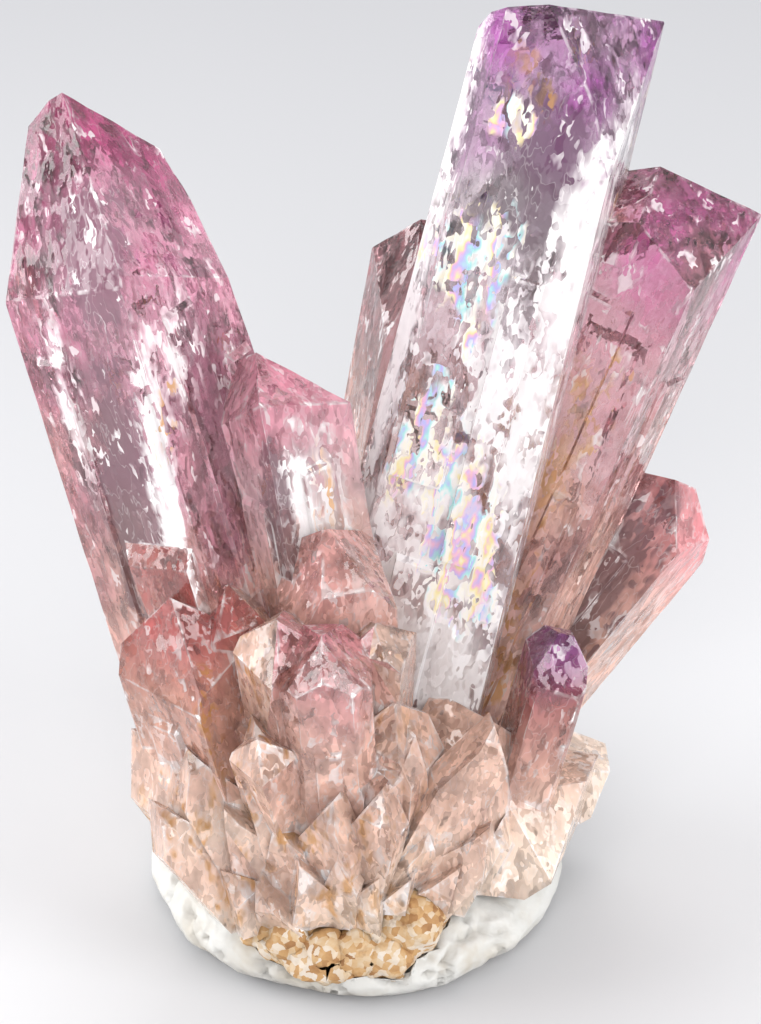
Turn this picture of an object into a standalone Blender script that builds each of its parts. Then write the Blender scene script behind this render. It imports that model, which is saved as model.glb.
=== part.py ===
"""Adamite specimen: an intergrown spray of clear pink crystals on a crust of limonite, in a disc of putty.

The numbers in the tables and formulas are millimetres and degrees. +Z is up, the origin is the middle of
the putty's flat underside, and the front of the specimen looks along -Y.
"""

import math
import random

import bmesh
import bpy
from mathutils import Matrix, Vector, noise

MM = 0.001
GAP = 0.3  # left between pieces that touch

# Putty disc that holds the specimen upright.
PUTTY_RADIUS = 8.0
PUTTY_TOP = 2.3
PUTTY_EDGE = 1.1  # radius of the rounded rim
PUTTY_SIDES = 72

# Limonite crust between the crystals' feet and the putty: an uneven pad with lumps on its front lip.
CRUST_CENTRE = (-1.1, -2.9)
CRUST_REACH = (3.6, 4.7)  # half its extent to the sides, and front to back
CRUST_BOTTOM = 1.2
CRUST_TOP = 2.7
CRUST_SIDES = 40
# Each lump is (x, y, z, radius).
LUMPS = [(1.9, -6.2, 2.9, 1.15), (1.1, -6.9, 2.0, 0.8), (0.0, -7.1, 2.2, 0.75), (-1.2, -7.0, 2.2, 0.7),
         (-2.4, -6.6, 2.3, 0.7), (-3.5, -5.8, 2.4, 0.7), (0.5, -6.4, 2.6, 0.75), (2.5, -5.3, 2.4, 0.8)]

CLUSTER_BOTTOM = PUTTY_TOP + GAP
HEART = (-0.6, -1.2, -1.5)  # the small crystals spread from this point, just under the putty
OVERRUN = 4.0  # how far a prism runs past its tip before its end faces cut it

# name: root and tip are the ends of the crystal's own axis, width lies across it and depth runs back.
# turn rotates the front face to the right about the axis, and narrowing is how much thinner the tip is.
# An end face is (azimuth, slope, drop): azimuth 0 is the front and 90 the right, slope tilts it from
# upright towards flat, and drop is how far below the tip it crosses the axis.
# A side face is (azimuth, distance from the axis).
CRYSTALS = {
    "tall": dict(root=(-0.6, -0.9, -1.5), tip=(7.7, 5.3, 34.9), width=7.1, depth=5.6, turn=-17, narrowing=0.18,
                 ends=[(59, 34, -1.4), (63, 25, -3.0), (-141, 59, 0.5), (-105, 31, -2.7), (-48, 1.2, -142)]),
    "left": dict(root=(-1.4, -2.3, -1.5), tip=(-10.1, 3.8, 31.6), width=5.8, depth=5.8, turn=56,
                 ends=[(11, 21, -0.9), (-93, 23, -0.9), (114, 35, -0.3), (60, 3.5, -50), (-165, 18, -4.5),
                       (154, 43, -0.7)]),
    "mid_left": dict(root=(0.5, -1.7, -1.5), tip=(-3.2, 0.6, 23.6), width=3.8, depth=3.8, turn=40,
                     ends=[(30, 50, 0.3), (-116, 35, -0.4), (109, 31, 0.5)]),
    "behind": dict(root=(-1.3, 2.2, -1.5), tip=(3.4, 7.3, 25.0), width=4.2, depth=4.0, turn=10,
                   ends=[(-80, 18, -3.2), (90, 40, -0.2), (10, 40, 0.2), (180, 45, 0.3)]),
    "right": dict(root=(0.0, -0.4, -1.5), tip=(11.9, 5.4, 28.3), width=5.3, depth=4.4, turn=-31,
                  ends=[(40, 55, 1.0), (-31, 45, 0.1), (-152, 27, -0.3)]),
    "small_right": dict(root=(0.0, 0.2, -1.5), tip=(12.7, 4.5, 14.9), width=3.1, depth=3.2, turn=-42,
                        ends=[(70, 41, -0.3), (-110, 60, 0.1), (160, 45, 0.3)]),
    "purple": dict(root=(5.4, -2.2, 2.6), tip=(7.6, -2.6, 13.4), width=2.1, depth=2.2, turn=8,
                   ends=[(10, 38, 0.5), (160, 62, 0.1), (100, 30, -0.5), (-90, 40, 0.0)],
                   sides=[(45, 1.35), (-45, 1.35)]),
    "front": dict(root=(-0.3, -2.8, -1.5), tip=(-1.2, -6.3, 16.2), width=3.3, depth=3.0, turn=0,
                  ends=[(0, 60, 0.0), (45, 45, 0.0), (-45, 45, 0.0), (95, 38, 0.2), (-95, 38, 0.2), (180, 55, 0.2)],
                  sides=[(45, 1.75), (-45, 1.75)]),
    "front_left": dict(root=(-2.9, -2.4, -1.5), tip=(-6.7, -3.6, 16.0), width=3.7, depth=3.8, turn=50,
                       ends=[(-5, 32, 0.0), (-85, 28, 0.1), (90, 35, 0.3), (180, 45, 0.3)]),
    "centre": dict(root=(-0.4, -1.8, -1.5), tip=(-0.9, -2.6, 18.2), width=3.9, depth=3.4, turn=15,
                   ends=[(0, 42, 0.0), (80, 38, 0.2), (-75, 26, -0.6), (180, 45, 0.2)]),
    "low_right": dict(root=(0.8, -2.4, -1.5), tip=(5.1, -3.1, 10.0), width=5.0, depth=4.6, turn=-20,
                      ends=[(-20, 42, 0.3), (72, 28, -0.4), (180, 50, 0.3)]),
    "knob": dict(root=(-1.0, 0.4, -0.2), tip=(9.9, 1.2, 4.3), width=2.8, depth=3.4, turn=0,
                   ends=[(0, 35, 0.2), (90, 40, 0.2), (-90, 50, 0.4)]),
    "blunt": dict(root=(-0.6, -2.4, 1.2), tip=(6.6, -2.4, 3.7), width=2.4, depth=3.4, turn=0,
                   ends=[(20, 62, 0.1), (-90, 40, 0.5)]),
    "bright": dict(root=(-1.0, -2.4, -1.5), tip=(-2.8, -5.6, 16.4), width=2.6, depth=2.4, turn=35,
                   ends=[(0, 40, 0.0), (-90, 35, 0.1), (90, 40, 0.2), (180, 45, 0.2)]),
    "milky": dict(root=(0.2, -2.2, -1.5), tip=(0.8, -4.2, 15.2), width=2.4, depth=2.2, turn=-15,
                   ends=[(0, 50, 0.0), (80, 50, 0.2), (-90, 45, 0.1), (180, 45, 0.2)]),
    "peach": dict(root=(0.6, -2.8, -1.5), tip=(1.4, -5.2, 12.4), width=3.2, depth=2.4, turn=-30,
                   ends=[(0, 35, 0.0), (-90, 35, 0.1), (90, 30, 0.0), (180, 45, 0.2)]),
    "wedge": dict(root=(-1.4, -1.8, -1.5), tip=(-4.7, -3.0, 16.0), width=2.4, depth=2.2, turn=20,
                   ends=[(0, 35, 0.0), (-90, 38, 0.1), (90, 30, 0.0), (180, 45, 0.2)]),
    "pyramid": dict(root=(-1.2, -2.8, -1.5), tip=(-3.5, -6.8, 11.9), width=1.8, depth=1.8, turn=40,
                   ends=[(0, 35, 0.0), (-90, 38, 0.1), (90, 40, 0.1), (180, 45, 0.1)]),
    "low_right_wide": dict(root=(-0.2, -1.8, -0.8), tip=(8.6, -1.8, 6.4), width=4.4, depth=4.8, turn=-16,
                        ends=[(10, 45, 0.2), (85, 38, -0.1), (-90, 45, 0.6)]),
    "lower_left": dict(root=(-1.6, -2.6, -1.5), tip=(-7.2, -4.0, 9.6), width=3.6, depth=3.4, turn=35,
                       ends=[(0, 40, 0.1), (-80, 34, 0.2), (90, 45, 0.3)]),
    "mass": dict(root=(-0.4, -1.2, -1.0), tip=(-0.4, -1.4, 9.0), width=10.4, depth=10.8, turn=0, narrowing=-0.25,
                 ends=[(0, 42, 0.0), (90, 45, 0.0), (180, 40, 0.0), (-90, 45, 0.0), (-45, 40, 0.3), (45, 40, 0.3)],
                 sides=[(45, 5.6), (-45, 5.7), (135, 5.4), (-135, 5.4)]),
}

# Crystals that nothing in front shows whole: (tip, width, depth, turn). All have the same pointed end.
REAR_CRYSTALS = [
    ((-7.4, 6.0, 14.6), 3.6, 3.2, 150), ((-2.4, 8.2, 14.2), 3.4, 3.6, 170), ((4.4, 9.6, 18.6), 3.8, 3.2, 195),
    ((8.6, 8.0, 13.6), 3.0, 3.0, 215), ((1.0, 9.4, 9.4), 3.4, 2.8, 180), ((-5.6, 7.4, 8.4), 3.0, 2.6, 160),
    ((5.8, 8.0, 8.2), 3.2, 2.8, 205), ((-8.0, 3.2, 9.6), 3.0, 2.8, 110), ((9.2, 4.2, 8.6), 2.6, 2.4, 240),
]
POINTED_END = [(0, 38, 0.0), (90, 34, 0.1), (180, 42, 0.2), (-90, 36, 0.2)]

# Blades that fan up the front from the foot, in layers: (count, half angle of the fan, length limits,
# limits of their tips' Y).
BLADE_FOCUS = (-0.8, -5.2, -2.0)
BLADE_LAYERS = [(7, 30, (7.6, 9.0), (-7.4, -7.1)), (7, 32, (9.4, 12.2), (-7.0, -6.4)),
                (5, 22, (13.0, 15.0), (-6.3, -5.8))]
BLADE_SEED = 5

# Small crystals round the back of the foot: azimuth limits from +X, and how far out they reach.
SKIRT_COUNT = 15
SKIRT_ARC = (-8, 196)
SKIRT_REACH = (6.2, 8.0)
SKIRT_SEED = 11

# Raised growth steps: (host crystal, face azimuth, side limits, limits below the tip, height of the step).
STEPS = [
    ("tall", 0, (-2.2, 0.2), (14.6, 18.4), 0.16), ("tall", 0, (0.4, 1.9), (9.0, 21.0), 0.12),
    ("tall", 0, (-1.2, 1.2), (20.5, 27.0), 0.18), ("tall", 0, (-1.9, -0.9), (4.0, 11.5), 0.08),
    ("tall", 180, (-1.8, 1.2), (6.0, 22.0), 0.25), ("tall", 180, (-0.8, 2.0), (15.0, 30.0), 0.3),
    ("left", -90, (-1.0, 2.9), (14.9, 30.0), 0.38), ("left", -90, (1.9, 2.9), (8.2, 13.5), 0.22),
    ("left", -90, (-2.4, -0.8), (8.0, 22.0), 0.16), ("left", 0, (-1.6, 0.4), (6.8, 19.0), 0.18),
    ("left", 0, (0.9, 2.6), (9.5, 24.0), 0.22), ("left", 90, (-1.5, 1.8), (9.0, 26.0), 0.3),
    ("left", 180, (-1.8, 0.6), (7.0, 20.0), 0.25),
    ("right", 0, (-1.0, 1.2), (4.6, 15.0), 0.15), ("right", 0, (0.8, 2.2), (12.0, 24.0), 0.18),
    ("right", 90, (-0.6, 1.4), (7.0, 20.0), 0.14), ("right", 180, (-1.6, 1.4), (6.0, 19.0), 0.3),
    ("mid_left", 0, (-0.9, 0.9), (3.6, 13.0), 0.15), ("mid_left", -90, (-0.4, 1.5), (4.5, 15.0), 0.2),
    ("small_right", 0, (-1.0, 0.4), (3.0, 9.0), 0.12), ("front", 0, (-0.7, 0.6), (4.4, 11.0), 0.12),
    ("front_left", -90, (-1.2, 0.8), (4.2, 12.0), 0.2), ("front_left", 0, (-0.6, 1.3), (5.0, 13.0), 0.2),
    ("low_right", 0, (-1.6, 0.6), (3.0, 9.0), 0.2), ("low_right", 90, (-1.2, 1.4), (3.4, 9.0), 0.25),
]


class Axes:
    """A crystal's own directions: up its axis, across to its right, and back from its front face."""

    def __init__(self, root, tip, turn):
        self.root = Vector(root)
        run = Vector(tip) - self.root
        self.length = run.length
        self.up = run.normalized()
        front = Vector((0, -1, 0))
        front = (front - front.dot(self.up) * self.up).normalized()
        self.back = -(Matrix.Rotation(math.radians(turn), 3, self.up) @ front)
        self.right = self.back.cross(self.up)

    def outward(self, azimuth, slope=0.0):
        a, s = math.radians(azimuth), math.radians(slope)
        level = math.sin(a) * self.right - math.cos(a) * self.back
        return math.cos(s) * level + math.sin(s) * self.up

    def point(self, across, back, along):
        return self.root + across * self.right + back * self.back + along * self.up


def box_mesh(corners):
    """A closed six-sided solid from four lower and four upper corners, each run the same way round."""
    bm = bmesh.new()
    verts = [bm.verts.new(c) for c in corners]
    bm.faces.new(verts[3::-1])
    bm.faces.new(verts[4:])
    for i in range(4):
        j = (i + 1) % 4
        bm.faces.new((verts[i], verts[j], verts[j + 4], verts[i + 4]))
    bmesh.ops.recalc_face_normals(bm, faces=bm.faces[:])
    return bm


def cut_away(bm, point, normal):
    """Take off what lies beyond a plane and close the cut with one flat face."""
    geometry = bm.verts[:] + bm.edges[:] + bm.faces[:]
    cut = bmesh.ops.bisect_plane(bm, geom=geometry, dist=1e-4, plane_co=point, plane_no=normal, clear_outer=True)
    rim = [g for g in cut["geom_cut"] if isinstance(g, bmesh.types.BMEdge)]
    if len(rim) > 2:
        bmesh.ops.contextual_create(bm, geom=rim)


def crystal_mesh(root, tip, width, depth, turn, ends, sides=(), narrowing=0.0):
    """A closed prism, cut by each of its end and side faces."""
    axes = Axes(root, tip, turn)
    top = axes.length + OVERRUN
    corners = []
    for along, scale in ((0, 1), (top, 1 - narrowing * top / axes.length)):
        corners += [axes.point(x * scale * width / 2, y * scale * depth / 2, along)
                    for x, y in ((-1, -1), (1, -1), (1, 1), (-1, 1))]
    bm = box_mesh(corners)
    for azimuth, slope, drop in ends:
        cut_away(bm, axes.point(0, 0, axes.length - drop), axes.outward(azimuth, slope))
    for azimuth, distance in sides:
        cut_away(bm, axes.root + distance * axes.outward(azimuth), axes.outward(azimuth))
    bmesh.ops.recalc_face_normals(bm, faces=bm.faces[:])
    return bm


def step_mesh(host, azimuth, side_limits, drop_limits, height):
    """A low plate with sloping edges, sunk into one face of its host crystal."""
    spec = CRYSTALS[host]
    axes = Axes(spec["root"], spec["tip"], spec["turn"])
    flank = spec["depth"] if azimuth % 180 == 0 else spec["width"]
    narrowing = spec.get("narrowing", 0.0)
    outward = axes.outward(azimuth)
    sideways = axes.outward(azimuth + 90)
    corners = []
    for lift, inset in ((-0.5, 0.0), (height, height * 1.5)):
        for side, drop in ((0, 1), (1, 1), (1, 0), (0, 0)):
            across = side_limits[side] + (inset if side == 0 else -inset)
            along = axes.length - drop_limits[drop] + (-3 * inset if drop == 0 else inset)
            reach = flank / 2 * (1 - narrowing * along / axes.length) + lift
            corners.append(axes.root + along * axes.up + across * sideways + reach * outward)
    return box_mesh(corners)


def rough_end(rng):
    """Four end faces of a small crystal, none of them quite regular."""
    return [(azimuth + rng.uniform(-12, 12), rng.uniform(26, 46), rng.uniform(0, 0.4))
            for azimuth in (0, 90, 180, -90)]


def sharp_end(rng):
    """Two steep faces that bring a blade to an edge, and a third that breaks it."""
    side = rng.choice((-1, 1))
    return [(90 * side, rng.uniform(14, 24), 0.1), (-90 * side, rng.uniform(22, 36), 0.3),
            (0, rng.uniform(20, 40), 0.1)]


def blade_specs():
    """Flat blades fanned up the front of the foot."""
    rng = random.Random(BLADE_SEED)
    for count, half_angle, lengths, fronts in BLADE_LAYERS:
        for i in range(count):
            lean = math.radians(half_angle * (2 * i / (count - 1) - 1) + rng.uniform(-2, 2))
            length = rng.uniform(*lengths)
            front = rng.uniform(*fronts) + 4.0 * math.sin(lean) ** 2
            tip = (BLADE_FOCUS[0] + length * math.sin(lean), front, BLADE_FOCUS[2] + length * math.cos(lean))
            width = rng.uniform(1.6, 2.6)
            yield dict(root=BLADE_FOCUS, tip=tip, width=width, depth=width * rng.uniform(0.35, 0.6),
                       turn=rng.uniform(-35, 35), ends=sharp_end(rng))


def skirt_specs():
    """Small crystals fanned out round the sides and back of the foot."""
    rng = random.Random(SKIRT_SEED)
    for i in range(SKIRT_COUNT):
        share = i / (SKIRT_COUNT - 1)
        azimuth = math.radians(SKIRT_ARC[0] + (SKIRT_ARC[1] - SKIRT_ARC[0]) * share + rng.uniform(-5, 5))
        reach = rng.uniform(*SKIRT_REACH)
        height = rng.uniform(3.8, 8.0)
        tip = (HEART[0] + reach * math.cos(azimuth), HEART[1] + reach * math.sin(azimuth) * 0.9, height)
        width = rng.uniform(1.8, 2.8)
        yield dict(root=HEART, tip=tip, width=width, depth=width * rng.uniform(0.6, 0.95),
                   turn=math.degrees(azimuth) + 90 + rng.uniform(-40, 40), ends=rough_end(rng))


def crust_mesh(margin):
    """The crust's pad, larger all round by margin."""
    bm = bmesh.new()
    levels = [(0.80, CRUST_BOTTOM - margin), (1.0, CRUST_BOTTOM + 0.4), (1.0, CRUST_TOP - 0.5),
              (0.82, CRUST_TOP + margin)]
    rings = []
    for scale, height in levels:
        ring = []
        for i in range(CRUST_SIDES):
            a = math.tau * i / CRUST_SIDES
            rough = 1 + 0.07 * noise.noise(Vector((3 * math.cos(a), 3 * math.sin(a), height)))
            x = CRUST_CENTRE[0] + (CRUST_REACH[0] * scale * rough + margin) * math.cos(a)
            y = CRUST_CENTRE[1] + (CRUST_REACH[1] * scale * rough + margin) * math.sin(a)
            ring.append(bm.verts.new((x, y, height)))
        rings.append(ring)
    for low, high in zip(rings, rings[1:]):
        for i in range(CRUST_SIDES):
            j = (i + 1) % CRUST_SIDES
            bm.faces.new((low[i], low[j], high[j], high[i]))
    bm.faces.new(rings[0][::-1])
    bm.faces.new(rings[-1])
    return bm


def lump_mesh(index, margin):
    """One rounded lump of the crust's lip, larger all round by margin."""
    x, y, z, radius = LUMPS[index]
    bm = bmesh.new()
    bmesh.ops.create_icosphere(bm, subdivisions=2, radius=1.0)
    for v in bm.verts:
        rough = 1 + 0.16 * noise.noise(v.co * 1.8 + Vector((7.0 * index, 0, 0)))
        v.co = Vector((x, y, z)) + v.co * (radius * rough + margin)
    return bm


def putty_height(x, y):
    """Height of the putty's top, with low folds and thumb hollows."""
    distance = math.hypot(x, y) / PUTTY_RADIUS
    folds = 0.30 * noise.noise(Vector((x * 0.35, y * 0.35, 1.0)))
    folds += 0.16 * noise.noise(Vector((x * 0.9, y * 0.9, 5.0)))
    return PUTTY_TOP - 0.12 - 0.25 * distance ** 3 + min(folds, 0.12)


def putty_mesh():
    """A turned disc with a rounded rim, its outline and top pushed out of true."""
    bm = bmesh.new()
    rim = [math.radians(a) for a in range(-90, 91, 30)]
    rings = []
    for step, lift in enumerate(rim):
        ring = []
        for i in range(PUTTY_SIDES):
            a = math.tau * i / PUTTY_SIDES
            dent = 0.018 * (1 + noise.noise(Vector((2 * math.cos(a), 2 * math.sin(a), 0))))
            dented = PUTTY_RADIUS * (1 - dent)
            radius = dented - PUTTY_EDGE * (1 - math.cos(lift))
            x, y = radius * math.cos(a), radius * math.sin(a)
            part = (math.sin(lift) + 1) / 2
            ring.append(bm.verts.new((x, y, putty_height(x, y) * part)))
        rings.append(ring)
    inner = [0.86, 0.76, 0.66, 0.55, 0.44, 0.33, 0.22, 0.11]
    edge = rings[-1]
    for scale in inner:
        ring = []
        for v in edge:
            x, y = v.co.x * scale, v.co.y * scale
            ring.append(bm.verts.new((x, y, putty_height(x, y))))
        rings.append(ring)
    for low, high in zip(rings, rings[1:]):
        for i in range(PUTTY_SIDES):
            j = (i + 1) % PUTTY_SIDES
            bm.faces.new((low[i], low[j], high[j], high[i]))
    bm.faces.new(rings[0][::-1])
    bm.faces.new(rings[-1])
    return bm


def add_object(name, bm, material=None, helper=False):
    bm.transform(Matrix.Scale(MM, 4))
    mesh = bpy.data.meshes.new(name)
    bm.to_mesh(mesh)
    bm.free()
    obj = bpy.data.objects.new(name, mesh)
    bpy.context.scene.collection.objects.link(obj)
    if material:
        mesh.materials.append(material)
    if helper:
        obj.hide_render = True
        obj.display_type = "WIRE"
    return obj


def helper_group(name, meshes):
    """Gather helper solids in a collection that one Boolean can use."""
    group = bpy.data.collections.new(name)
    bpy.context.scene.collection.children.link(group)
    for i, bm in enumerate(meshes):
        obj = add_object(f"{name}_{i}", bm, helper=True)
        bpy.context.scene.collection.objects.unlink(obj)
        group.objects.link(obj)
    return group


def add_boolean(obj, name, operation, group, solver="EXACT"):
    boolean = obj.modifiers.new(name, "BOOLEAN")
    boolean.operation = operation
    boolean.solver = solver
    boolean.operand_type = "COLLECTION"
    boolean.collection = group


def make_material(name, color, roughness, transmission=0.0):
    material = bpy.data.materials.new(name)
    material.use_nodes = True
    shader = material.node_tree.nodes["Principled BSDF"]
    shader.inputs["Base Color"].default_value = (*color, 1)
    shader.inputs["Roughness"].default_value = roughness
    shader.inputs["Metallic"].default_value = 0.0
    shader.inputs["Transmission Weight"].default_value = transmission
    return material


def slab_mesh(low, high, reach=20.0):
    """A wide level slab between two heights."""
    square = ((-reach, -reach), (reach, -reach), (reach, reach), (-reach, reach))
    return box_mesh([(x, y, z) for z in (low, high) for x, y in square])


def add_crystal_cluster(material):
    specs = list(CRYSTALS.values())
    for tip, width, depth, turn in REAR_CRYSTALS:
        specs.append(dict(root=HEART, tip=tip, width=width, depth=depth, turn=turn, ends=POINTED_END))
    specs += list(blade_specs()) + list(skirt_specs())
    meshes = [crystal_mesh(**spec) for spec in specs]
    meshes += [step_mesh(*step) for step in STEPS]
    cluster = add_object("crystal_cluster", meshes[0], material)
    # The exact solver runs for minutes where this many crystals meet at one point.
    add_boolean(cluster, "grow_together", "UNION", helper_group("crystal", meshes[1:]), solver="MANIFOLD")
    below = [slab_mesh(-8.0, CLUSTER_BOTTOM), crust_mesh(GAP)]
    below += [lump_mesh(i, GAP) for i in range(len(LUMPS))]
    add_boolean(cluster, "clear_the_foot", "DIFFERENCE", helper_group("foot_clearance", below))
    return cluster


def add_limonite_matrix(material):
    crust = add_object("limonite_matrix", crust_mesh(0.0), material)
    lumps = [lump_mesh(i, 0.0) for i in range(len(LUMPS))]
    add_boolean(crust, "join_lumps", "UNION", helper_group("lump", lumps))
    return crust


def add_putty_base(material):
    putty = add_object("putty_base", putty_mesh(), material)
    recess = [crust_mesh(GAP)] + [lump_mesh(i, GAP) for i in range(len(LUMPS))]
    add_boolean(putty, "recess", "DIFFERENCE", helper_group("crust_recess", recess))
    return putty


def main():
    for obj in list(bpy.data.objects):
        bpy.data.objects.remove(obj)
    add_crystal_cluster(make_material("adamite", (0.86, 0.56, 0.62), 0.08, transmission=1.0))
    add_limonite_matrix(make_material("limonite", (0.62, 0.40, 0.18), 0.9))
    add_putty_base(make_material("putty", (0.86, 0.87, 0.85), 0.6))


main()
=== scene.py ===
import math

import bpy
import numpy as np
from mathutils import Matrix, Vector, noise


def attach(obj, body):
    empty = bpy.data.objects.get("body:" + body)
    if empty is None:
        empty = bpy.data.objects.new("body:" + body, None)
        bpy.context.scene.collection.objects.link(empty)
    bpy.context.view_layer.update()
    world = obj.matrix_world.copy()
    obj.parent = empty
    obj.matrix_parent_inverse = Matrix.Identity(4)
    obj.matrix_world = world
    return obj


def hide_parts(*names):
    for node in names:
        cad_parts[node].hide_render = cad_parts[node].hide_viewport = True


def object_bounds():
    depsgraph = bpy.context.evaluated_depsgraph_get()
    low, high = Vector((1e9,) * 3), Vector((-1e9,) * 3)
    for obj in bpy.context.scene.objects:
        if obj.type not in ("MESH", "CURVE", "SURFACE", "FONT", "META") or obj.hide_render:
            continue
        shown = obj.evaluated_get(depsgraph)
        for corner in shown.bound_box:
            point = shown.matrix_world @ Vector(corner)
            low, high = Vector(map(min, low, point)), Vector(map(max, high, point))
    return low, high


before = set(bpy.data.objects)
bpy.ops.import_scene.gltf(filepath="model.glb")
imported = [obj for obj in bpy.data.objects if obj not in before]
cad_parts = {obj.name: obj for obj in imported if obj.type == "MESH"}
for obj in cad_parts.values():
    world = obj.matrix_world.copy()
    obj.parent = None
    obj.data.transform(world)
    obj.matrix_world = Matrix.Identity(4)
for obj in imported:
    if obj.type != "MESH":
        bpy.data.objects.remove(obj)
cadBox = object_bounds()
mm = 0.001
weld = 1e-6  # corners closer than this, in metres, are one


class Val:  # a node socket that can be used in sums
    def __init__(self, shader, socket):
        self.shader, self.socket = shader, socket

    def maths(self, operation, *others):
        return self.shader.node("ShaderNodeMath", dict(operation=operation), *others)

    def __add__(self, other):
        return self.maths("ADD", self, other)

    def __radd__(self, other):
        return self.maths("ADD", other, self)

    def __sub__(self, other):
        return self.maths("SUBTRACT", self, other)

    def __rsub__(self, other):
        return self.maths("SUBTRACT", other, self)

    def __mul__(self, other):
        return self.maths("MULTIPLY", self, other)

    def __rmul__(self, other):
        return self.maths("MULTIPLY", other, self)

    def __truediv__(self, other):
        return self.maths("DIVIDE", self, other)

    def __rtruediv__(self, other):
        return self.maths("DIVIDE", other, self)

    def clamp(self):
        made = self.maths("ADD", self, 0.0)
        made.socket.node.use_clamp = True
        return made


class Shader:  # one material's node tree
    def __init__(self, name):
        self.material = bpy.data.materials.new(name)
        self.material.use_nodes = True
        self.tree = self.material.node_tree
        self.out = self.tree.nodes["Material Output"]
        self.main = self.tree.nodes["Principled BSDF"]

    def node(self, kind, settings=None, *values, out=0, **named):
        made = self.tree.nodes.new(kind)
        for key, value in (settings or {}).items():
            if key == "stops":
                ramp = made.color_ramp.elements
                while len(ramp) < len(value):
                    ramp.new(0.5)
                for element, (place, color) in zip(ramp, value):
                    element.position = place
                    element.color = color if len(color) == 4 else (*color, 1)
            else:
                setattr(made, key, value)
        for key, value in [*enumerate(values), *named.items()]:
            byName = isinstance(key, str) and not key.isdigit()
            self.put(made, key.replace("_", " ") if byName else int(key), value)
        return Val(self, made.outputs[out])

    def put(self, node, key, value):
        socket = node.inputs[key]
        if isinstance(value, Val):
            self.tree.links.new(value.socket, socket)
        else:
            socket.default_value = value

    def split(self, color):  # its red, green and blue
        made = self.node("ShaderNodeSeparateColor", None, color)
        return [Val(self, socket) for socket in made.socket.node.outputs]

    def set(self, **named):  # sockets of the main shader
        for key, value in named.items():
            self.put(self.main, key.replace("_", " "), value)
        return self


def deselect():
    for obj in bpy.context.selected_objects:
        obj.select_set(False)


def finishPiece(obj, name, shader):
    obj.name = name
    obj.data.name = name
    obj.data.materials.clear()
    obj.data.materials.append(shader.material)
    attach(obj, "root")
    return obj


# The main crystals in mm: the ends of each axis, its front's turn in degrees, width and depth.
prisms = dict(
    tall=dict(root=(-0.6, -0.9, -1.5), tip=(7.7, 5.3, 34.9), turn=-17, width=7.1, depth=5.6,
              narrowing=0.18),
    left=dict(root=(-1.4, -2.3, -1.5), tip=(-10.1, 3.8, 31.6), turn=56, width=5.8, depth=5.8),
    midLeft=dict(root=(0.5, -1.7, -1.5), tip=(-3.2, 0.6, 23.6), turn=40, width=3.8, depth=3.8),
    behind=dict(root=(-1.3, 2.2, -1.5), tip=(3.4, 7.3, 25.0), turn=10, width=4.2, depth=4.0),
    right=dict(root=(0.0, -0.4, -1.5), tip=(11.9, 5.4, 28.3), turn=-31, width=5.3, depth=4.4),
    smallRight=dict(root=(0.0, 0.2, -1.5), tip=(12.7, 4.5, 14.9), turn=-42, width=3.1, depth=3.2),
    purple=dict(root=(5.4, -2.2, 2.6), tip=(7.6, -2.6, 13.4), turn=8, width=2.1, depth=2.2),
    front=dict(root=(-0.3, -2.8, -1.5), tip=(-1.2, -6.3, 16.2), turn=0, width=3.3, depth=3.0),
    frontLeft=dict(root=(-2.9, -2.4, -1.5), tip=(-6.7, -3.6, 16.0), turn=50, width=3.7, depth=3.8),
    centre=dict(root=(-0.4, -1.8, -1.5), tip=(-0.9, -2.6, 18.2), turn=15, width=3.9, depth=3.4),
)


class Prism:  # directions of one crystal: up its axis, to its right, and back from its front face
    def __init__(self, name, root, tip, turn, width, depth, narrowing=0.0):
        self.name, self.width, self.depth, self.narrowing = name, width, depth, narrowing
        self.root = Vector(root)
        run = Vector(tip) - self.root
        self.length, self.up = run.length, run.normalized()
        front = Vector((0, -1, 0))
        front = (front - front.dot(self.up) * self.up).normalized()
        self.back = -(Matrix.Rotation(math.radians(turn), 3, self.up) @ front)
        self.right = self.back.cross(self.up)

    def local(self, point):  # a point in mm as (across, back, along)
        way = point - self.root
        return Vector((way.dot(self.right), way.dot(self.back), way.dot(self.up)))

    def outside(self, spot):  # how far a local point lies outside the prism
        share = 1 - self.narrowing * spot.z / self.length
        return max(abs(spot.x) - share * self.width / 2, abs(spot.y) - share * self.depth / 2)


spray = {name: Prism(name, **values) for name, values in prisms.items()}


near = dict(
    reach=0.55, lowest=3, beyond=1.5,  # mm off a crystal's side, up from its root and past its tip
    lean=0.12, leanCost=0.4, endCost=0.3, endSlack=0.1, endRun=8)  # which leaning faces are its end


def crystalOf(point, normal):  # the crystal whose surface holds this point, in mm
    best, found = near["reach"], None
    for prism in spray.values():
        spot = prism.local(point)
        if spot.z < near["lowest"] or spot.z > prism.length + near["beyond"]:
            continue
        gap = prism.outside(spot)
        lean = normal.dot(prism.up)
        cost = abs(gap) + (near["leanCost"] if abs(lean) > near["lean"] else 0)
        if gap < near["endSlack"] and spot.z > prism.length - near["endRun"] and lean > near["lean"]:
            cost = min(cost, near["endCost"])
        if cost < best:
            best, found = cost, prism
    return found


def copyNode(name):  # a welded copy of a CAD node, ready to be worked on
    deselect()
    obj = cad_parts[name].copy()
    obj.data = obj.data.copy()
    obj.parent = None
    for key in list(obj.keys()):
        del obj[key]
    bpy.context.scene.collection.objects.link(obj)
    bpy.context.view_layer.objects.active = obj
    obj.select_set(True)
    bpy.ops.object.mode_set(mode="EDIT")
    bpy.ops.mesh.select_all(action="SELECT")
    bpy.ops.mesh.remove_doubles(threshold=weld)
    bpy.ops.object.mode_set(mode="OBJECT")
    if obj.data.has_custom_normals:
        bpy.ops.mesh.customdata_custom_splitnormals_clear()
    bpy.ops.object.shade_flat()
    return obj


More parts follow.
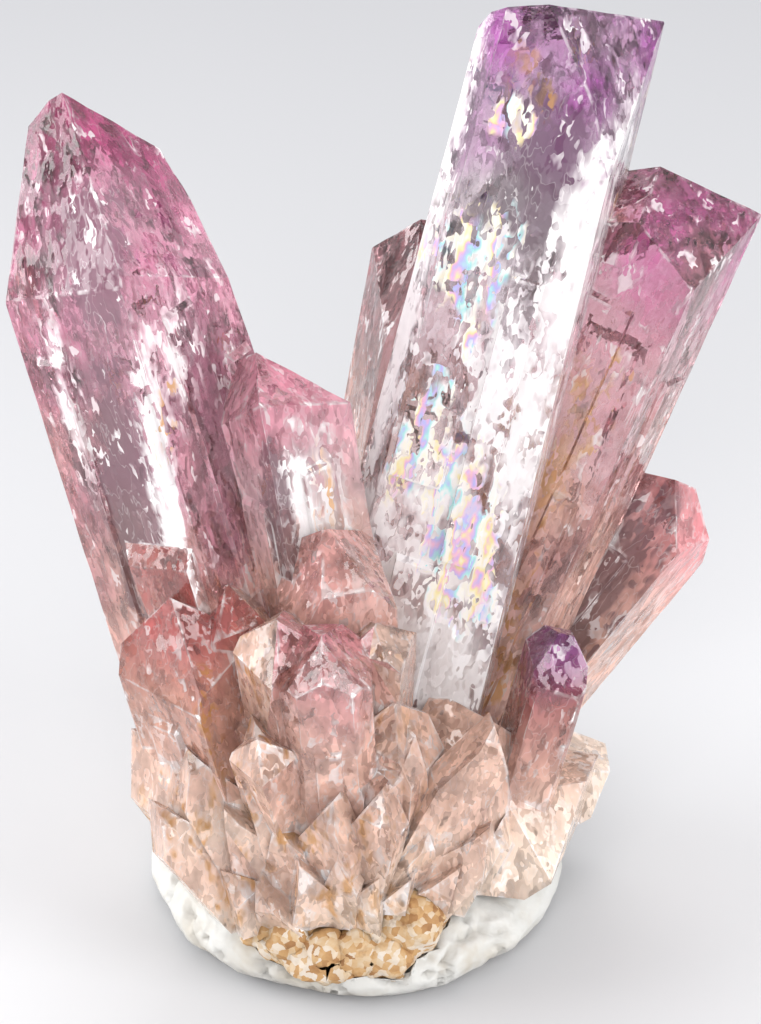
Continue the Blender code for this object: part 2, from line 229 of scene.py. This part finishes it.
def tone(red, green, blue):  # a colour in screen numbers, 0 to 255
    return tuple(((c / 255 + 0.055) / 1.055) ** 2.4 if c > 10 else c / 3294 for c in (red, green, blue))


hues = dict(  # colour of each crystal's tip and of its body
    tall=(tone(212, 96, 204), tone(254, 238, 246)),
    left=(tone(228, 72, 148), tone(250, 166, 196)),
    midLeft=(tone(252, 150, 176), tone(255, 214, 220)),
    behind=(tone(200, 118, 130), tone(206, 142, 144)),
    right=(tone(228, 104, 178), tone(242, 178, 188)),
    smallRight=(tone(254, 158, 164), tone(248, 190, 186)),
    purple=(tone(162, 92, 152), tone(166, 74, 84)),
    front=(tone(246, 156, 168), tone(254, 200, 188)),
    frontLeft=(tone(206, 114, 112), tone(204, 134, 116)),
    centre=(tone(254, 188, 180), tone(254, 204, 188)),
    foot=(tone(255, 226, 206), tone(255, 226, 206)),
)
order = {name: i + 1 for i, name in enumerate(spray)}
apart = 40.0  # mm between the crystals' patterns, so that no two look alike
skin = dict(
    step=0.8, sharp=16,  # mm of longest edge, degrees that count as an edge
    relief=0.028, hills=(1.2, 1.2, 0.4),  # mm of relief, hillocks to a mm
    fine=2.4, fineShare=0.6)  # finer hillocks on them


def markOwners(obj):  # number each face by the crystal it belongs to
    obj.data.attributes.new("owner", "INT", "FACE")
    owner = obj.data.attributes["owner"].data
    for face in obj.data.polygons:
        prism = crystalOf(face.center / mm, face.normal)
        owner[face.index].value = order[prism.name] if prism else 0


def meshArray(collection, key, wide, kind=float):  # one numpy row per item
    values = np.zeros(len(collection) * wide, kind)
    collection.foreach_get(key, values)
    return values.reshape(-1, wide)


def divide(obj, step, rounds=7):  # halve the long edges round after round, down to small triangles
    mesh = obj.data
    bpy.context.view_layer.objects.active = obj
    bpy.ops.object.mode_set(mode="EDIT")
    bpy.ops.mesh.select_mode(type="EDGE")
    for _ in range(rounds):
        bpy.ops.mesh.select_all(action="SELECT")
        bpy.ops.mesh.quads_convert_to_tris(quad_method="BEAUTY", ngon_method="BEAUTY")
        bpy.ops.mesh.select_all(action="DESELECT")
        bpy.ops.object.mode_set(mode="OBJECT")
        ends = meshArray(mesh.edges, "vertices", 2, np.int32)
        points = meshArray(mesh.vertices, "co", 3)
        lengths = np.linalg.norm(points[ends[:, 0]] - points[ends[:, 1]], axis=1)
        mesh.edges.foreach_set("select", lengths > step)
        bpy.ops.object.mode_set(mode="EDIT")
        bpy.ops.mesh.subdivide(number_cuts=1)
    bpy.ops.mesh.select_all(action="SELECT")
    bpy.ops.mesh.quads_convert_to_tris(quad_method="BEAUTY", ngon_method="BEAUTY")
    bpy.ops.object.mode_set(mode="OBJECT")


def smoothFlats(obj, sharp):  # smooth shading that keeps every real edge
    deselect()
    obj.select_set(True)
    bpy.context.view_layer.objects.active = obj
    bpy.ops.object.shade_smooth_by_angle(angle=math.radians(sharp))


def roughen(obj, depth):  # low growth hillocks, drawn out along the crystals
    points = meshArray(obj.data.vertices, "co", 3)
    normals = meshArray(obj.data.vertices, "normal", 3)
    spots = [Vector(p) for p in (points / mm * skin["hills"]).tolist()]
    wave = np.array([noise.noise(p) + skin["fineShare"] * noise.noise(p * skin["fine"]) for p in spots])
    points += normals * wave[:, None] * depth * mm
    obj.data.vertices.foreach_set("co", points.ravel())
    obj.data.update()


# Patches painted on the crystals' faces, as if inside: painted reflections, painted dark reflections, painted
# rainbow reflections and gold stains, each (crystal, across and down from its tip, half sizes, turn, strength)
# painted dark reflections of the room, as dark bands on the crystals
paintedDarkReflectionPatches = [
    ("tall", (0.1, 6.0), (1.3, 3.0), 10, 1.0), ("tall", (-1.5, 8.4), (0.6, 1.4), 0, 0.7),
    ("left", (-0.2, 4.8), (1.0, 2.4), 7, 1.1), ("left", (-1.3, 14.3), (1.0, 4.8), 7, 1.2),
    ("left", (-2.0, 21.0), (0.9, 2.6), 7, 0.8),
    ("midLeft", (-0.2, 6.6), (0.5, 3.4), 0, 1.0), ("smallRight", (-1.0, 5.0), (1.1, 3.6), 0, 1.0),
]
# painted reflections: white flashes where fractures inside the crystals mirror the lamps
paintedReflectionPatches = [
    ("tall", (1.9, 8.4), (0.95, 5.0), 3, 1.0), ("tall", (1.7, 16.0), (0.9, 4.4), 0, 0.8),
    ("tall", (-3.1, 9.0), (0.36, 12.0), 0, 0.8), ("tall", (-2.8, 22.0), (0.6, 4.6), 0, 0.7),
    ("tall", (1.0, 25.0), (1.8, 3.0), -10, 1.0), ("tall", (-0.6, 18.2), (0.9, 2.4), 12, 0.9),
    ("tall", (-0.2, 23.0), (2.6, 6.5), 0, 0.75), ("tall", (0.6, 14.0), (1.6, 3.4), -14, 0.7),
    ("left", (-0.1, 14.4), (0.45, 6.0), 7, 1.1), ("left", (-2.6, 10.0), (0.4, 3.4), 4, 0.7),
    ("left", (1.6, 9.0), (0.6, 2.4), 10, 0.6), ("midLeft", (0.5, 6.4), (0.28, 3.6), 0, 1.1),
    ("midLeft", (1.2, 9.0), (0.9, 6.0), 0, 0.6),
]
# painted rainbow reflections off fractures inside the crystals
paintedRainbowPatches = [
    ("tall", (-1.2, 4.0), (0.6, 0.9), 0, 0.9), ("tall", (-1.5, 9.3), (1.2, 1.8), 20, 1.0),
    ("tall", (-1.7, 16.2), (0.8, 2.4), 8, 1.0), ("tall", (0.4, 19.6), (1.2, 3.2), -12, 1.0),
    ("tall", (-0.9, 11.4), (0.6, 0.9), 0, 0.8),
]
goldPatches = [
    ("tall", (-0.9, 2.4), (0.35, 1.5), -35, 1.0), ("tall", (3.3, 12.0), (0.3, 9.0), 0, 0.9),
    ("right", (-0.4, 11.0), (0.8, 4.0), 6, 0.9), ("right", (0.2, 19.0), (1.0, 4.0), -6, 0.8),
    ("left", (0.7, 11.0), (0.3, 1.2), 20, 0.9), ("midLeft", (1.3, 6.0), (0.4, 2.4), 0, 0.6),
    ("frontLeft", (0.8, 5.0), (0.7, 2.0), 0, 0.5), ("left", (0.6, 24.0), (1.6, 3.0), 0, 0.7),
]
patchReach = 1.5  # a patch ends at this many times its half size


def paintPatches(listed, owners, seen, spots):  # full in the middle of a patch, falling to 0 outside it
    value = np.zeros(len(spots))
    for name, (across, down), (wide, high), turn, strength in listed:
        here = owners == order[name]
        x = seen[here] - across
        z = spots[here, 2] - (spray[name].length - down)
        c, s = math.cos(math.radians(turn)), math.sin(math.radians(turn))
        reach = np.hypot((x * c - z * s) / wide, (x * s + z * c) / high)
        value[here] = np.maximum(value[here], strength * np.clip(patchReach - reach, 0, 1))
    return value


peach, cream = np.array(tone(252, 204, 182)), np.array(tone(248, 226, 206))
cloud = dict(
    foot=0.76, top=0.20, rise=(5.0, 20.0),  # share of milky crystal at the foot and high up, heights in mm
    more=dict(midLeft=0.3, smallRight=0.2, centre=0.05), wander=0.25)  # more in some crystals, unevenness
fades = dict(  # where the colours change, in mm
    tip=7.0, tipShare=0.24,  # run of the tip's colour, and its largest share of a crystal
    noTip=20.0,  # how far from a tip the foot counts as
    peach=dict(foot=20.0, tall=13.0, main=22.0),  # heights below which peach begins
    peachRun=8.0, peachShare=0.8,
    belowTip=5.0, tipGap=0.3,  # peach keeps this far from a tip
    cream=8.0, creamRun=6.0,  # height below which peach pales to cream
    patch=0.35, wander=dict(tip=0.8, peach=0.9, cream=0.8))  # size and strength of the unevenness


def addGrain(obj):  # every corner learns its place on its own crystal, its colour and its patches
    mesh = obj.data
    count = len(mesh.loops)
    index = meshArray(mesh.loops, "vertex_index", 1, np.int32)[:, 0]
    points = meshArray(mesh.vertices, "co", 3)[index] / mm
    owners = meshArray(mesh.attributes["owner"].data, "value", 1, np.int32)[:, 0]
    owners = np.repeat(owners, meshArray(mesh.polygons, "loop_total", 1, np.int32)[:, 0])
    spots, fade = points.copy(), np.full(count, fades["tip"])
    below, peachFrom = np.full(count, fades["noTip"]), np.full(count, fades["peach"]["foot"])
    milkier = np.zeros(count)
    seen = np.zeros(count)  # mm to the right of the crystal's axis, from the front
    tips = np.tile(np.array(hues["foot"][0]), (count, 1))
    bodies = tips.copy()
    for name, prism in spray.items():
        here = owners == order[name]
        turned = np.array([prism.right, prism.back, prism.up])
        spots[here] = (points[here] - np.array(prism.root)) @ turned.T
        below[here] = prism.length - spots[here, 2]
        seen[here] = spots[here, 0] * prism.right[0] + spots[here, 1] * prism.back[0]
        peachFrom[here] = fades["peach"]["tall" if name == "tall" else "main"]
        fade[here] = min(fades["tip"], prism.length * fades["tipShare"])
        milkier[here] = cloud["more"].get(name, 0.0)
        tips[here], bodies[here] = np.array(hues[name][0]), np.array(hues[name][1])
    # corners on the sharp edges, where a painted highlight runs along the crystals' edges
    corners = np.zeros(len(mesh.vertices))
    isSharp = meshArray(mesh.attributes["sharp_edge"].data, "value", 1, bool)[:, 0]
    corners[meshArray(mesh.edges, "vertices", 2, np.int32)[isSharp].ravel()] = 1.0
    height = points[:, 2]
    wander = np.array([noise.noise(Vector(p) * fades["patch"]) for p in points.tolist()])
    uneven = fades["wander"]
    top = np.clip(1 - below / fade + wander * uneven["tip"], 0, 1)[:, None]
    low = np.clip((peachFrom - height) / fades["peachRun"] + wander * uneven["peach"], 0, 1)[:, None]
    low *= np.clip(below / fades["belowTip"] - fades["tipGap"], 0, 1)[:, None]
    paler = (fades["cream"] - height) / fades["creamRun"] + wander * uneven["cream"]
    paler = np.clip(paler, 0, 1)[:, None]
    hue = bodies * (1 - top) + tips * top
    low *= fades["peachShare"]
    hue = hue * (1 - low) + (peach * (1 - paler) + cream * paler) * low
    bottom, upper = cloud["rise"]
    rise = np.clip((height - bottom) / (upper - bottom), 0, 1)
    milkiness = cloud["foot"] + (cloud["top"] - cloud["foot"]) * rise + milkier + wander * cloud["wander"]
    # painted reflections, painted dark reflections and painted rainbow reflections, and the gold stains
    kinds = (paintedReflectionPatches, paintedDarkReflectionPatches, paintedRainbowPatches, goldPatches)
    marks = np.stack([paintPatches(kind, owners, seen, spots) for kind in kinds], 1)
    spots[:, 0] += owners * apart
    ones = np.ones((count, 1))
    for name, kind, key, values in (
            ("grain", "FLOAT_VECTOR", "vector", spots), ("milkiness", "FLOAT", "value", milkiness),
            ("rim", "FLOAT", "value", corners[index]),
            ("hue", "FLOAT_COLOR", "color", np.hstack([hue, ones])),
            ("marks", "FLOAT_COLOR", "color", marks)):
        mesh.attributes.new(name, kind, "CORNER")
        mesh.attributes[name].data.foreach_set(key, values.astype(np.float32).ravel())
    mesh.attributes.remove(mesh.attributes["owner"])


glass = dict(ior=1.71, paler=0.2, absorb=(0.92, 0.66, 0.70), density=50.0)
milk = dict(roughness=0.08, ior=1.7)
facets = dict(lean=0.64, least=0.05)  # how far the broken facets turn away, at the foot and everywhere
flakes = dict(
    stretch=(1.0, 1.0, 0.5), scale=1.5, detail=2.0,  # the noise, drawn out along the crystal
    swirl=(0.9, 0.9, 0.6), crumple=(1.3, 1.3, 1.3),  # how far it bends the shards
    shards=(2.6, 2.6, 2.6),  # shards to a mm
    eaten=1.8, chipped=0.6, bias=0.35,  # how noise and shards break up a patch, and how far it shrinks
    spread=dict(white=0.15, dark=0.25, rainbow=0.0, gold=0.0),
    steep=dict(white=1.9, dark=2.4, rainbow=3.0, gold=3.0),
    inside=5.0)  # how quickly a patch begins at its rim
picked = dict(  # where each mask starts in its noise, and how steeply it rises
    rainbow=(0.22, 5.0), gold=(0.3, 4.0), edge=(0.72, 6.0), edgeGaps=(0.44, 7.0),
    glint=(0.86, 30), glintGaps=(0.46, 8), speck=(0.68, 20), veins=(0.53, 12.0), veinGaps=(0.42, 6.0))
shares = dict(dark=0.8, gold=0.8, line=0.3, edge=0.6, speck=0.4, darkMilk=0.7, edgeMilk=0.5)
# colours laid over the hue: dark for painted dark reflections, white for painted reflections, glints and edge
# highlights, gold for stains
reflectionAndStainColours = dict(dark=(84, 62, 74), white=(255, 250, 250), gold=(222, 160, 84))
spectrum = [
    (0.0, tone(255, 250, 250)), (0.18, tone(252, 236, 170)), (0.3, tone(246, 190, 222)),
    (0.45, tone(196, 190, 246)), (0.6, tone(178, 238, 236)), (0.75, tone(255, 252, 250)),
    (1.0, tone(255, 248, 224))]


def mix(s, factor, first, second, kind="MIX"):
    return s.node("ShaderNodeMix", dict(data_type="RGBA", blend_type=kind), out=2,
                  **{"0": factor, "6": first, "7": second})


def above(value, start, steepness):  # 0 up to the start, then rising to 1
    return ((value - start) * steepness).clamp()


def makeCrystalShader():
    s = Shader("clearAdamite")
    grain = s.node("ShaderNodeAttribute", dict(attribute_name="grain"), out=1)
    hue = s.node("ShaderNodeAttribute", dict(attribute_name="hue"))
    milkiness = s.node("ShaderNodeAttribute", dict(attribute_name="milkiness"), out=2)
    # red, green and blue hold the painted white, dark and rainbow reflections; the fourth channel holds the gold
    # stains
    marks = s.node("ShaderNodeAttribute", dict(attribute_name="marks"))
    goldMark = s.node("ShaderNodeAttribute", dict(attribute_name="marks"), out=3)
    # sharp edges, for the painted highlight along them
    rim = s.node("ShaderNodeAttribute", dict(attribute_name="rim"), out=2)
    whiteMark, darkMark, rainbowMark = s.split(marks)
    long = s.node("ShaderNodeVectorMath", dict(operation="MULTIPLY"), grain, flakes["stretch"])
    jitter = s.node("ShaderNodeTexNoise", None, long, Scale=flakes["scale"], Detail=flakes["detail"],
                    Roughness=0.6, out=1)
    jitterA, jitterB, jitterC = s.split(jitter)
    swirl = s.node("ShaderNodeVectorMath", dict(operation="MULTIPLY_ADD"), jitter, flakes["swirl"], long)
    cells = s.node("ShaderNodeVectorMath", dict(operation="MULTIPLY_ADD"), jitter, flakes["crumple"], swirl)
    cells = s.node("ShaderNodeVectorMath", dict(operation="MULTIPLY"), cells, flakes["shards"])
    cells = s.node("ShaderNodeVectorMath", dict(operation="FLOOR"), cells)
    shards = s.node("ShaderNodeTexWhiteNoise", dict(noise_dimensions="3D"), cells, out=1)
    shardTone, shardPick = s.split(shards)[:2]

    ragged = (jitterA - 0.5) * flakes["eaten"] + (shardTone - 0.5) * flakes["chipped"] - flakes["bias"]
    masks = {}
    for kind, mark in dict(white=whiteMark, dark=darkMark, rainbow=rainbowMark, gold=goldMark).items():
        broken = ((mark + ragged + flakes["spread"][kind]) * flakes["steep"][kind]).clamp()
        masks[kind] = broken * (mark * flakes["inside"]).clamp()
    # painted reflections in white, painted dark reflections, and painted rainbow reflections on chosen shards
    white = masks["white"] * (0.7 + jitterB * 0.5)
    dark = masks["dark"]
    rainbow = masks["rainbow"] * above(shardTone, *picked["rainbow"])
    # painted highlights along the sharp edges, and painted glints on single shards
    edge = above(rim, *picked["edge"]) * above(jitterB, *picked["edgeGaps"])
    clearer = (0.9 - milkiness * 0.6).clamp()
    glint = above(shardPick, *picked["glint"]) * above(jitterB, *picked["glintGaps"]) * clearer
    line = (1.0 - s.node("ShaderNodeMath", dict(operation="ABSOLUTE"), jitterC - 0.5) * 70.0).clamp()
    speck = above(jitterC, *picked["speck"])
    shade = 1.0 + (shardTone - 0.5) * 0.16 + (jitterA - 0.5) * 0.24 - speck * shares["speck"]
    hue = mix(s, 1.0, hue, s.node("ShaderNodeCombineColor", None, shade, shade, shade), "MULTIPLY")
    # the painted dark reflections darken the hue
    hue = mix(s, dark * shares["dark"], hue, (*tone(*reflectionAndStainColours["dark"]), 1))
    # painted white: painted reflections, painted glints and painted edge highlights, with thin white lines
    bright = (white + glint + line * shares["line"] + edge * shares["edge"]).clamp()
    hue = mix(s, bright, hue, (*tone(*reflectionAndStainColours["white"]), 1))

    # The gold veins stay on the left of the foot: the main crystals' patterns begin past 30 mm.
    leftFoot = (1.0 - s.node("ShaderNodeSeparateXYZ", None, grain, out=0) * 0.3).clamp()
    veins = above(jitterC, *picked["veins"]) * above(jitterA, *picked["veinGaps"]) * leftFoot
    gold = masks["gold"] * above(shardPick, *picked["gold"])
    hue = mix(s, (veins + gold).clamp() * shares["gold"], hue, (*tone(*reflectionAndStainColours["gold"]), 1))

    # painted rainbow reflections, in bands of the spectrum
    bands = s.node("ShaderNodeSeparateXYZ", None, swirl, out=0) * 0.8 + jitterB * 2.0
    bands = s.node("ShaderNodeMath", dict(operation="FRACT"), bands)
    hue = mix(s, rainbow, hue, s.node("ShaderNodeValToRGB", dict(stops=spectrum), bands))
    cloudy = (milkiness + (jitterB - 0.5) * 1.0 + (shardTone - 0.5) * 0.25).clamp()
    # the crystal turns milky under the painted reflections, glints and edge highlights
    solid = (white + rainbow + dark * shares["darkMilk"] + glint + edge * shares["edgeMilk"]).clamp()
    cloudy = s.node("ShaderNodeMath", dict(operation="MAXIMUM"), cloudy, solid)
    lean = milkiness * facets["lean"] + facets["least"]
    lean = s.node("ShaderNodeCombineXYZ", None, lean, lean, lean)
    flat = s.node("ShaderNodeNewGeometry", out=1)
    tilt = s.node("ShaderNodeVectorMath", dict(operation="SUBTRACT"), shards, (0.5, 0.5, 0.5))
    tilt = s.node("ShaderNodeVectorMath", dict(operation="MULTIPLY_ADD"), tilt, lean, flat)
    tilt = s.node("ShaderNodeVectorMath", dict(operation="NORMALIZE"), tilt)
    clearHue = mix(s, glass["paler"], hue, (1.0, 1.0, 1.0, 1))
    s.set(Base_Color=clearHue, Roughness=0.0, IOR=glass["ior"], Transmission_Weight=1.0, Normal=tilt)
    milky = s.tree.nodes.new("ShaderNodeBsdfPrincipled")
    milkySockets = dict(Base_Color=hue, Roughness=milk["roughness"], Normal=tilt, IOR=milk["ior"])
    for key, value in milkySockets.items():
        s.put(milky, key.replace("_", " "), value)
    mixed = s.tree.nodes.new("ShaderNodeMixShader")
    s.put(mixed, 0, cloudy)
    s.tree.links.new(s.main.outputs[0], mixed.inputs[1])
    s.tree.links.new(milky.outputs[0], mixed.inputs[2])
    s.tree.links.new(mixed.outputs[0], s.out.inputs["Surface"])
    volume = s.tree.nodes.new("ShaderNodeVolumeAbsorption")
    volume.inputs["Color"].default_value = (*glass["absorb"], 1)
    volume.inputs["Density"].default_value = glass["density"]
    s.tree.links.new(volume.outputs[0], s.out.inputs["Volume"])
    return s


crystals = copyNode("crystal_cluster")
markOwners(crystals)
divide(crystals, skin["step"] * mm)
smoothFlats(crystals, skin["sharp"])
roughen(crystals, skin["relief"])
addGrain(crystals)
print("crystals cut into", len(crystals.data.polygons), "cells")
finishPiece(crystals, "clear_crystals", makeCrystalShader())
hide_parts("crystal_cluster")
print("crystals done")

putty = dict(
    step=0.4, sharp=50,  # mm of longest edge, degrees that count as an edge
    fold=0.5, foldSize=(0.22, 0.34, 0.3), foldBend=2.4, foldShift=7,  # mm of fold, folds to a mm
    ridge=0.9, ridgeRun=0.1, foldPower=1.5,  # how much of the noise becomes a fold, and its profile
    wave=0.22, waveSize=0.5, dentSize=1.6, dentShare=0.35,  # mm of wave, waves and dents to a mm
    flat=0.5,  # mm at the bottom where folds and waves die out
    press=0.34, reach=7.0,  # mm of squeeze under the crystals, and how far out it goes
    rough=0.5, smear=320.0, fine=2600.0, bump=0.00006)  # smears and grain to a metre, metres of bump
crust = dict(
    step=0.2, sharp=60, grains=2.2, swell=0.26, grow=0.16,  # mm of edge, grains to a mm, mm of swell
    lumps=0.45, lumpShare=0.9, lowest=0.0002,  # size and strength of lumps, metres above the floor
    clouds=700.0, specks=3600.0, warp=(0.0006, 0.0006, 0.0006), bump=0.00008)  # to a metre, and in metres


def keepInside(points):  # nothing grows past the solid's own box
    return np.clip(points, np.array(cadBox[0]), np.array(cadBox[1]))


def kneadPutty(obj):  # pressed folds and thumb waves, on all but the flat underside
    mesh = obj.data
    points = meshArray(mesh.vertices, "co", 3)
    normals = meshArray(mesh.vertices, "normal", 3)
    free = np.clip(points[:, 2] / mm / putty["flat"], 0, 1)
    wide, deep, high = putty["foldSize"]
    folds, waves = [], []
    for x, y, z in (points / mm).tolist():
        bend = noise.noise(Vector((x, y, z)) * wide) * putty["foldBend"]
        way = Vector((x * wide + bend, y * deep - bend, z * high + putty["foldShift"]))
        ridge = 1 - abs(noise.noise(way))
        folds.append(max(0.0, (ridge - putty["ridge"]) / putty["ridgeRun"]) ** putty["foldPower"])
        dent = putty["dentShare"] * noise.noise(Vector((x, y, z)) * putty["dentSize"])
        waves.append(noise.noise(Vector((x, y, z)) * putty["waveSize"]) + dent)
    folds, waves = np.array(folds), np.array(waves)
    squeeze = np.clip(putty["reach"] - np.hypot(points[:, 0], points[:, 1]) / mm, 0, 1)
    squeeze = squeeze * np.clip(normals[:, 2], 0, 1)
    points[:, 2] += squeeze * putty["press"] * mm  # pressed up against the crystals' feet
    points += normals * ((waves * putty["wave"] - folds * putty["fold"]) * free * mm)[:, None]
    mesh.vertices.foreach_set("co", keepInside(points).ravel())
    mesh.update()
    # fold depth, kept for the painted shade in the creases
    mesh.attributes.new("fold", "FLOAT", "POINT")
    mesh.attributes["fold"].data.foreach_set("value", (folds * free).astype(np.float32))


def makePuttyShader():
    s = Shader("whitePutty")
    place = s.node("ShaderNodeTexCoord", out=3)
    smear = s.node("ShaderNodeTexNoise", None, place,
                   Scale=putty["smear"], Detail=4.0, Roughness=0.6, out=1)
    smearA, smearB = s.split(smear)[:2]
    fold = s.node("ShaderNodeAttribute", dict(attribute_name="fold"), out=2)
    hue = s.node("ShaderNodeValToRGB", dict(stops=[
        (0.0, tone(196, 186, 168)), (0.38, tone(214, 208, 196)), (0.55, tone(228, 227, 222)),
        (1.0, tone(236, 237, 234))]), smearA)
    hue = mix(s, above(smearB, 0.57, 8.0) * 0.55, hue, (*tone(196, 182, 160), 1))
    # painted shade: darker in the creases of the folds
    hue = mix(s, fold.clamp() * 0.4, hue, (*tone(178, 170, 160), 1))
    fine = s.node("ShaderNodeTexNoise", None, place, Scale=putty["fine"], Detail=2.0)
    bump = s.node("ShaderNodeBump", None, Strength=0.6, Distance=putty["bump"], Height=fine + smearA * 2.0)
    s.set(Base_Color=hue, Roughness=putty["rough"] + (smearB - 0.5) * 0.4, Normal=bump)
    return s


def swellGrains(obj):  # rounded granules all over the crust
    mesh = obj.data
    points = meshArray(mesh.vertices, "co", 3)
    normals = meshArray(mesh.vertices, "normal", 3)
    swell = []
    for spot in (points / mm * crust["grains"]).tolist():
        away = noise.voronoi(Vector(spot))[0]
        swell.append(1.0 - away[0] + crust["lumpShare"] * noise.noise(Vector(spot) * crust["lumps"]))
    points += normals * ((np.array(swell) * crust["swell"] + crust["grow"]) * mm)[:, None]
    points[:, 2] = np.maximum(points[:, 2], crust["lowest"])
    mesh.vertices.foreach_set("co", keepInside(points).ravel())
    mesh.update()


def makeCrustShader():
    s = Shader("ochreLimonite")
    place = s.node("ShaderNodeTexCoord", out=3)
    cloudy = s.node("ShaderNodeTexNoise", None, place,
                    Scale=crust["clouds"], Detail=4.0, Roughness=0.65, out=1)
    cloudA, cloudB = s.split(cloudy)[:2]
    warped = s.node("ShaderNodeVectorMath", dict(operation="MULTIPLY_ADD"), cloudy, crust["warp"], place)
    grains = s.node("ShaderNodeTexVoronoi", None, warped, Scale=crust["specks"], out=1)
    grainTone = s.node("ShaderNodeSeparateColor", None, grains, out=0)
    hue = s.node("ShaderNodeValToRGB", dict(stops=[
        (0.0, tone(112, 74, 44)), (0.25, tone(176, 128, 80)), (0.45, tone(210, 166, 112)),
        (0.6, tone(222, 194, 156)), (0.78, tone(232, 216, 196)), (1.0, tone(240, 230, 218))]),
        (grainTone * 0.6 + cloudA * 0.75 - 0.12).clamp())
    hue = mix(s, above(cloudB, 0.6, 8.0) * 0.8, hue, (*tone(132, 80, 40), 1))
    gap = s.node("ShaderNodeTexVoronoi", None, warped, Scale=crust["specks"], out=0)
    bump = s.node("ShaderNodeBump", None, Strength=0.7, Distance=crust["bump"], Height=cloudA - gap * 0.6)
    s.set(Base_Color=hue, Roughness=0.45 + cloudB * 0.4, Normal=bump)
    return s


pad = copyNode("putty_base")
divide(pad, putty["step"] * mm)
smoothFlats(pad, putty["sharp"])
kneadPutty(pad)
finishPiece(pad, "kneaded_putty", makePuttyShader())
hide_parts("putty_base")
print("putty cut into", len(pad.data.polygons), "cells")

lip = copyNode("limonite_matrix")
divide(lip, crust["step"] * mm)
smoothFlats(lip, crust["sharp"])
swellGrains(lip)
finishPiece(lip, "limonite_crust", makeCrustShader())
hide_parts("limonite_matrix")
print("crust cut into", len(lip.data.polygons), "cells")

studio = dict(
    floorSize=3.0, drop=0.00002,  # and its gap under the putty
    near=(0.76, 0.76, 0.77), far=(0.49, 0.49, 0.505),  # the floor's colour, at the front and at the back: painted falloff of light, darker towards the back
    front=0.01, deep=0.09,  # where that change begins, and its run
    roomFront=(0.30, 0.29, 0.30), roomBack=(0.95, 0.97, 1.0), roomReach=(0.25, 0.7), worldStrength=1.0)

deselect()
bpy.ops.mesh.primitive_plane_add(size=studio["floorSize"], location=(0, 0, -studio["drop"]))
floor = bpy.context.object
floor.name = "floor"
paper = Shader("palePaper")
depth = paper.node("ShaderNodeSeparateXYZ", None, paper.node("ShaderNodeTexCoord", out=3), out=1)
# painted shade: the floor darkens towards the back
shade = dict(stops=[(0.0, studio["near"]), (1.0, studio["far"])])
depth = (depth + studio["front"]) / studio["deep"]
paper.set(Base_Color=paper.node("ShaderNodeValToRGB", shade, depth), Roughness=0.7)
floor.data.materials.append(paper.material)

lamps = [  # place, width and height, brightness, colour
    dict(place=(-0.34, 0.06, 0.14), size=(0.30, 0.26), glow=4.0, color=(1.0, 1.0, 1.0)),
    dict(place=(0.31, -0.15, 0.16), size=(0.20, 0.26), glow=4.0, color=(1.0, 1.0, 1.0)),
    dict(place=(0.02, 0.30, 0.42), size=(0.24, 0.16), glow=4.0, color=(1.0, 1.0, 1.0)),
    dict(place=(-0.06, -0.42, 0.30), size=(0.34, 0.24), glow=4.2, color=(1.0, 0.99, 0.98)),
]
aim = Vector((0.001, 0, 0.016))
for lamp in lamps:
    bpy.ops.object.light_add(type="AREA", location=lamp["place"])
    light = bpy.context.object
    light.data.shape = "RECTANGLE"
    light.data.size, light.data.size_y = lamp["size"]
    light.data.energy = lamp["glow"] * math.pi * lamp["size"][0] * lamp["size"][1]
    light.data.color = lamp["color"]
    light.rotation_mode = "QUATERNION"
    light.rotation_quaternion = (aim - light.location).to_track_quat("-Z", "Y")

world = bpy.data.worlds.new("studioAir")
world.use_nodes = True
air = world.node_tree.nodes["Background"]
reach = world.node_tree.nodes.new("ShaderNodeTexCoord")
split = world.node_tree.nodes.new("ShaderNodeSeparateXYZ")
ramp = world.node_tree.nodes.new("ShaderNodeValToRGB")
ramp.color_ramp.elements[0].position, ramp.color_ramp.elements[1].position = studio["roomReach"]
ramp.color_ramp.elements[0].color = (*studio["roomFront"], 1)
ramp.color_ramp.elements[1].color = (*studio["roomBack"], 1)
shift = world.node_tree.nodes.new("ShaderNodeMath")
shift.operation = "MULTIPLY_ADD"
shift.inputs[1].default_value, shift.inputs[2].default_value = 0.5, 0.5  # from -1..1 to 0..1
world.node_tree.links.new(reach.outputs["Generated"], split.inputs[0])
world.node_tree.links.new(split.outputs[1], shift.inputs[0])
world.node_tree.links.new(shift.outputs[0], ramp.inputs[0])
world.node_tree.links.new(ramp.outputs[0], air.inputs["Color"])
air.inputs["Strength"].default_value = studio["worldStrength"]
world.cycles.sampling_method = "NONE"
bpy.context.scene.world = world

view = dict(elevation=35.0, distance=0.154453, target=(0.00089, 0.0, 0.01693), lens=150.0, nearest=0.01)
tilt = math.radians(view["elevation"])
back = Vector((0, -math.cos(tilt), math.sin(tilt)))
bpy.ops.object.camera_add(location=Vector(view["target"]) + back * view["distance"])
camera = bpy.context.object
camera.rotation_mode = "QUATERNION"
camera.rotation_quaternion = (-back).to_track_quat("-Z", "Y")
camera.data.lens = view["lens"]
camera.data.clip_start = view["nearest"]
bpy.context.scene.camera = camera
bounces = dict(whole=5, diffuse=1)
cycles = bpy.context.scene.cycles
cycles.max_bounces = bounces["whole"]
cycles.diffuse_bounces = bounces["diffuse"]
cycles.use_light_tree = False
bpy.context.scene.view_settings.view_transform = "Standard"
print("studio done")
